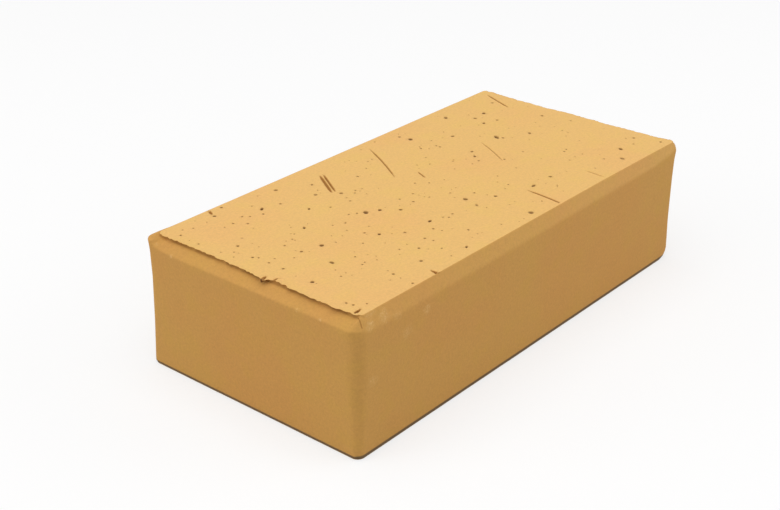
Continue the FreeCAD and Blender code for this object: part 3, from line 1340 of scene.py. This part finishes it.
@dataclass
class Paver:
    """The whole paver: it joins skirt and cut faces into one skin and works its relief."""

    block: Block
    clay: bpy.types.Material
    relief: Relief = field(default_factory=Relief)
    wearing_middle: Pair = (0.6, 0.8)
    wearing_draw: PitDraw = PitDraw(210, SEED + 4, (0.34, 0.75))
    bed_draw: PitDraw = PitDraw(110, SEED + 6, (0.5, 1.7))
    bed_marks: MarkDraw = MarkDraw(9, SEED + 5)
    wearing_spacing: float = 1.15
    bed_spacing: float = 2.4
    cut_rows: int = 4
    mark_taper: float = 6.0
    mark_least: float = 0.6
    # Painted contact shadow along the base of the walls: its height, the extra at the sides, the height
    # below which points carry it, and how near a side the extra starts.
    foot_height: float = 1.7
    foot_more: float = 0.35
    foot_reach: float = 6.0
    foot_side: float = 2.0
    sheet: float = 310.0
    sheet_gap: float = 2.0

    def build(self) -> bpy.types.Object:
        """Makes the finished piece.

        Returns:
            The paver as one mesh object, in metres.
        """
        skirt = self._skirt()
        skirt.build()
        pits, marks = self._wearing_features()
        top = FaceMesh(CutFace.WEARING, skirt.points[0], pits, marks, self.wearing_spacing, SEED)
        marks = self.bed_marks.draw()
        pits = self.bed_draw.draw(self.block, along_marks(marks))
        bed = FaceMesh(CutFace.BED, skirt.points[-1], pits, marks, self.bed_spacing, SEED + 1)
        for face in (top, bed):
            face.build()
        skin = self._skin(skirt, top, bed)
        carved = modifier_applied(
            skin,
            self.relief.build(),
            {
                "Pits": self._pit_cloud(top.pits, bed.pits),
                "Marks": self._mark_lines(top.marks, bed.marks),
                "Clay": self.clay,
                "Height": self.block.height,
                **self.relief.settings(),
            },
        )
        for helper in [o for o in bpy.data.objects if o.name.startswith("scratch_")]:
            bpy.data.objects.remove(helper)
        carved.name = "paver_block"
        piece = linked("paver_block", carved)
        log.info(
            "paver_block: %d points, %d faces, %d triangles, %d pits",
            len(carved.vertices), len(carved.polygons),
            sum(len(p.vertices) - 2 for p in carved.polygons), len(top.pits) + len(bed.pits),
        )
        return piece

    def _skirt(self) -> Skirt:
        """The block's edges, with the wear and tearing of each one."""
        corners = (
            Corner(
                1, -1,
                (0.0, 1.5, 4.0, 8.0, 16.0, 34.0, 48.5, 52.0),
                (2.3, 2.5, 2.9, 4.0, 4.6, 4.8, 3.8, 7.5),
            ),
            Corner(1, 1),
            Corner(-1, 1, (0.0, 1.5, 6.0, 16.0, 34.0, 50.0), (2.8, 3.5, 4.6, 5.0, 3.8, 2.0)),
            Corner(-1, -1, (0.0, 1.6, 5.4, 16.0, 34.0, 50.0), (1.1, 1.5, 5.6, 5.4, 4.8, 2.9)),
        )
        front = LongEdge(
            (-1.0, -0.9, -0.3, 0.4, 0.6, 0.8, 0.92, 1.0),
            (2.3, 2.2, 2.1, 2.0, 1.8, 1.5, 1.3, 1.1),
            (5.0, 5.6, 5.7, 5.8, 5.8, 5.7, 4.4, 2.2),
        )
        back = LongEdge((-1.0, -0.93, -0.85, 1.0), (2.4, 2.4, 2.4, 2.5), (1.0, 1.2, 5.8, 5.8))
        near_end = EndEdge(
            (-46.5, -44.5, -43.0, -41.5, -40.0, -36.0, -31.0, -28.0, -24.0, -20.0, -16.5, -13.0,
             -8.5, -7.2, -6.8, -6.3, -5.9, -4.5, -1.5, 3.0, 12.0, 30.0, 46.0),
            (4.9, 4.3, 3.7, 4.0, 3.6, 3.6, 3.7, 3.2, 3.2, 3.7, 3.8, 4.1,
             4.2, 3.7, 3.9, 3.9, 2.2, 2.1, 3.2, 3.6, 3.8, 4.0, 4.0),
            (-45.0, -36.0, 0.0, 30.0, 40.0, 44.0, 46.0, 47.5),
            (4.5, 4.3, 4.2, 4.2, 3.8, 2.6, 1.6, 1.2),
            SEED + 2,
            under_stations=(-46.8, -45.0),
            under_shares=(0.1, 1.0),
        )
        far_end = EndEdge(
            (-46.0, -44.0, -41.0, -30.0, -28.0, -24.0, -3.0, 4.0, 9.0, 13.0, 17.0, 30.0, 39.0,
             42.0, 46.0),
            (1.4, 1.8, 2.7, 3.0, 2.3, 3.1, 2.8, 2.4, 3.0, 3.6, 3.1, 2.9, 2.6,
             2.2, 2.4),
            (-47.0, -40.0, 40.0, 47.0),
            (1.7, 4.4, 4.4, 4.0),
            SEED + 3,
            root_inset=2.7,
            under_stations=(-46.5, -40.0),
            under_shares=(0.0, 1.0),
        )
        return Skirt(self.block, corners, front, back, near_end, far_end)

    def _wearing_features(self) -> tuple[list[Pit], list[DragMark]]:
        """Pits and drag marks of the wearing face."""
        shift = self.wearing_middle
        marks = [
            replace(m, start=tuple(np.add(m.start, shift)), end=tuple(np.add(m.end, shift)))
            for m in WEARING_MARKS
        ]
        chosen = [replace(p, x=p.x + shift[0], y=p.y + shift[1]) for p in WEARING_PITS]
        taken = [(p.x, p.y, p.across * p.stretch) for p in chosen] + along_marks(marks)
        return chosen + self.wearing_draw.draw(self.block, taken), marks

    def _pit_cloud(self, wearing: list[Pit], bed: list[Pit]) -> bpy.types.Object:
        """All pits as points that carry their sizes."""
        places = [(p.x, p.y, self.block.height) for p in wearing] + [(p.x, p.y, 0.0) for p in bed]
        pits = wearing + bed
        numbers = {
            "radius": [p.across / 2.0 for p in pits],
            "depth": [p.depth for p in pits],
            "stretch": [p.stretch for p in pits],
            "turn_x": [math.cos(math.radians(p.turn)) for p in pits],
            "turn_y": [math.sin(math.radians(p.turn)) for p in pits],
        }
        return point_object("scratch_pits", places, [], numbers)

    def _mark_lines(self, wearing: list[DragMark], bed: list[DragMark]) -> bpy.types.Object:
        """All drag marks as lines of edges, narrower and shallower towards their ends."""
        points, edges, widths, depths = [], [], [], []
        marks = [(m, self.block.height) for m in wearing] + [(m, 0.0) for m in bed]
        for mark, z in marks:
            line = mark.line(0.4)
            for index, (x, y) in enumerate(line.tolist()):
                share = index / (len(line) - 1)
                full = min(1.0, self.mark_taper * share, self.mark_taper * (1.0 - share))
                taper = self.mark_least + full * (1.0 - self.mark_least)
                if index:
                    edges.append((len(points) - 1, len(points)))
                points.append((x, y, z))
                widths.append(mark.width * taper)
                depths.append(mark.depth * taper)
        return point_object("scratch_marks", points, edges, {"width": widths, "depth": depths})

    def _skin(self, skirt: Skirt, top: FaceMesh, bed: FaceMesh) -> bpy.types.Object:
        """One closed mesh of skirt and cut faces, with its masks.

        Args:
            skirt: the edges and walls.
            top: the wearing face.
            bed: the bed face.

        Returns:
            The smooth skin, before its relief is worked.
        """
        rows, columns = skirt.points.shape[:2]
        grid = skirt.points.reshape(-1, 3)
        top_points = np.column_stack([top.inner, np.full(len(top.inner), self.block.height)])
        bed_points = np.column_stack([bed.inner, np.zeros(len(bed.inner))])
        points = np.concatenate([grid, top_points, bed_points])

        faces = []
        for upper in range(0, (rows - 1) * columns, columns):
            lower = upper + columns
            for here in range(columns):
                after = (here + 1) % columns
                faces.append((upper + here, lower + here, lower + after, upper + after))
        top_start = len(grid)
        bed_start = top_start + len(top_points)
        bed_rim = (rows - 1) * columns
        for face in top.triangles:
            faces.append(tuple(v + (0 if v < columns else top_start - columns) for v in face))
        for face in bed.triangles:
            turned = face[::-1]
            faces.append(tuple(v + (bed_rim if v < columns else bed_start - columns) for v in turned))

        mesh = bpy.data.meshes.new("scratch_skin")
        mesh.from_pydata((points * MM).tolist(), [], faces)
        mesh.validate()
        mesh.polygons.foreach_set("use_smooth", np.ones(len(mesh.polygons), bool))

        cut = np.zeros(len(points), np.float32)
        cut[: columns * self.cut_rows] = 1.0
        cut[bed_rim : len(grid)] = 1.0
        cut[top_start:] = 1.0
        masks = {"foot": self._foot(grid), "lip": skirt.lip_shade(), "bevel_light": skirt.painted_bevel_light()}
        masks["foot"][bed_rim:] = 0.0
        beyond = np.zeros(len(points) - len(grid))
        padded = {name: np.concatenate([mask.ravel(), beyond]) for name, mask in masks.items()}
        keep_numbers(mesh, {"cut": cut, **padded})
        self._unwrap(mesh, skirt, points, len(top.triangles))
        return linked("scratch_skin", mesh)

    def _foot(self, grid: np.ndarray) -> np.ndarray:
        """Height of the dark line of painted contact shadow along the base of the walls, a little more
        at the sides.
        """
        beyond = np.abs(grid[:, 1]) - self.block.width / 2.0 + self.foot_side
        height = self.foot_height + self.foot_more * np.clip(beyond, 0.0, 1.0)
        return (grid[:, 2] < self.foot_reach) * height

    def _unwrap(
        self, mesh: bpy.types.Mesh, skirt: Skirt, points: np.ndarray, top_count: int
    ) -> None:
        """Lays every face out flat at one scale, so that a baked picture wastes little.

        Args:
            mesh: skin to unwrap, whose faces are the grid, the wearing face and the bed.
            skirt: the grid's own layout.
            points: places of the mesh's points, in millimetres.
            top_count: number of triangles in the wearing face.
        """
        gap = self.sheet_gap
        half_length, half_width = self.block.length / 2.0, self.block.width / 2.0
        across, above = 2.0 * gap + self.block.width, 2.0 * (gap + half_width)
        side_height = float(skirt.down[-1]) + gap
        origins = (
            (gap, above + 2.0 * side_height),
            (gap, above + side_height),
            (gap + across, above + 2.0 * side_height),
            (gap, above),
        )
        grid = skirt.flattened(origins).reshape(-1, 2)
        corners = np.zeros(len(mesh.loops), np.int32)
        mesh.loops.foreach_get("vertex_index", corners)
        place = points[corners[len(grid) :]]
        top, bed = place[: 3 * top_count], place[3 * top_count :]
        top_flat = top[:, :2] + [half_length + gap, half_width + gap]
        bed_flat = bed[:, [1, 0]] + [self.block.length + 3.0 * gap + half_width, half_length + gap]
        flat = np.concatenate([grid, top_flat, bed_flat]) / self.sheet
        layer = mesh.uv_layers.new(name="OFBake")
        layer.data.foreach_set("uv", flat.ravel().astype(np.float32))


# --------------------------------------------------------------------------- studio


@dataclass(frozen=True)
class Camera:
    """Where the camera stands and how long its lens is. Lengths in metres."""

    azimuth: float = -49.963
    elevation: float = 26.398
    distance: float = 0.54935
    sideways: float = -0.01583
    raised: float = 0.01954
    lens: float = 63.977
    sensor: float = 36.0

    def build(self) -> bpy.types.Object:
        """Makes the camera and gives it to the scene."""
        turn, rise = math.radians(self.azimuth), math.radians(self.elevation)
        back = Vector(
            (math.sin(turn) * math.cos(rise), -math.cos(turn) * math.cos(rise), math.sin(rise))
        )
        right = Vector((0.0, 0.0, 1.0)).cross(back).normalized()
        up = back.cross(right)
        data = bpy.data.cameras.new("camera")
        data.lens = self.lens
        data.sensor_width = self.sensor
        data.sensor_fit = "HORIZONTAL"
        data.clip_start, data.clip_end = 0.01, 20.0
        camera = linked("camera", data)
        camera.location = back * self.distance + right * self.sideways + up * self.raised
        camera.rotation_mode = "QUATERNION"
        camera.rotation_quaternion = (-back).to_track_quat("-Z", "Y")
        bpy.context.scene.camera = camera
        return camera


@dataclass(frozen=True)
class Softbox:
    """A square lamp that faces the middle of the paver. Lengths in metres."""

    name: str
    place: Triple
    size: float
    power: float
    aim: Triple = (0.0, 0.0, 0.03)

    def build(self) -> bpy.types.Object:
        """Makes the lamp."""
        data = bpy.data.lights.new(self.name, "AREA")
        data.shape = "SQUARE"
        data.size = self.size
        data.energy = self.power
        lamp = linked(self.name, data)
        lamp.location = self.place
        lamp.rotation_mode = "QUATERNION"
        lamp.rotation_quaternion = (Vector(self.aim) - lamp.location).to_track_quat("-Z", "Y")
        return lamp


@dataclass(frozen=True)
class Studio:
    """Pale floor, white surround and soft lamps."""

    floor_half: float = 4.0
    floor_bounce: float = 0.62
    floor_white: float = 0.96
    shadow_share: float = 0.35
    surround: float = 0.45
    lamps: tuple[Softbox, ...] = (
        Softbox("overhead_softbox", (-0.4, -0.1, 1.65), 2.2, 20.0),
        Softbox("left_softbox", (-1.2, 0.9, 0.45), 0.9, 5.0),
        Softbox("right_softbox", (0.8, -0.85, 0.40), 0.9, 3.85),
    )

    def build(self) -> None:
        """Sets the view transform, the surround, the floor and the lamps."""
        scene = bpy.context.scene
        scene.view_settings.view_transform = "Standard"
        self._surround(scene)
        self._floor()
        for lamp in self.lamps:
            lamp.build()

    def _surround(self, scene: bpy.types.Scene) -> None:
        """World light: dim for the object, white where it is looked at or mirrored."""
        world = bpy.data.worlds.new("surround")
        scene.world = world
        world.use_nodes = True
        graph = Graph(world.node_tree)
        strength = self.surround + self._seen(graph) * (1.0 - self.surround)
        plain = {"Color": (1.0, 1.0, 1.0, 1.0), "Strength": strength}
        light = graph.made("ShaderNodeBackground", plain)
        graph.add("ShaderNodeOutputWorld", {"Surface": light})

    def _seen(self, graph: Graph) -> Number:
        """1 for a ray that looks at the studio, straight, in a reflection or through glass."""
        path = graph.add("ShaderNodeLightPath")
        mirrored = graph.number(path, "Is Glossy Ray").most(graph.number(path, "Is Transmission Ray"))
        return graph.number(path, "Is Camera Ray").most(mirrored)

    def _floor(self) -> None:
        """White floor that keeps a soft shadow and throws little light back up."""
        half = self.floor_half
        mesh = bpy.data.meshes.new("floor")
        mesh.from_pydata(
            [(-half, -half, 0.0), (half, -half, 0.0), (half, half, 0.0), (-half, half, 0.0)],
            [],
            [(0, 1, 2, 3)],
        )
        floor = linked("floor", mesh)
        material = bpy.data.materials.new("pale_floor")
        material.use_nodes = True
        graph = Graph(material.node_tree)
        bounce, lit = (
            graph.made("ShaderNodeBsdfDiffuse", {"Color": (grey, grey, grey, 1.0)})
            for grey in (self.floor_bounce, self.floor_white)
        )
        white = graph.made("ShaderNodeEmission", {"Color": (1.0, 1.0, 1.0, 1.0)})
        shown = graph.made("ShaderNodeMixShader", [self.shadow_share, white, lit])
        both = graph.made("ShaderNodeMixShader", [self._seen(graph), bounce, shown])
        graph.add("ShaderNodeOutputMaterial", {"Surface": both})
        floor.data.materials.append(material)


# --------------------------------------------------------------------------- main


def main() -> None:
    """Builds the camera, the studio and the paver."""
    logging.basicConfig(level=logging.INFO, format="%(name)s: %(message)s")
    Camera().build()
    Studio().build()
    block = Block.from_frame(NODE)
    paver = Paver(block, FiredClay().build()).build()
    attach(paver, BODY)
    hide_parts(NODE)


if __name__ == "__main__":
    main()
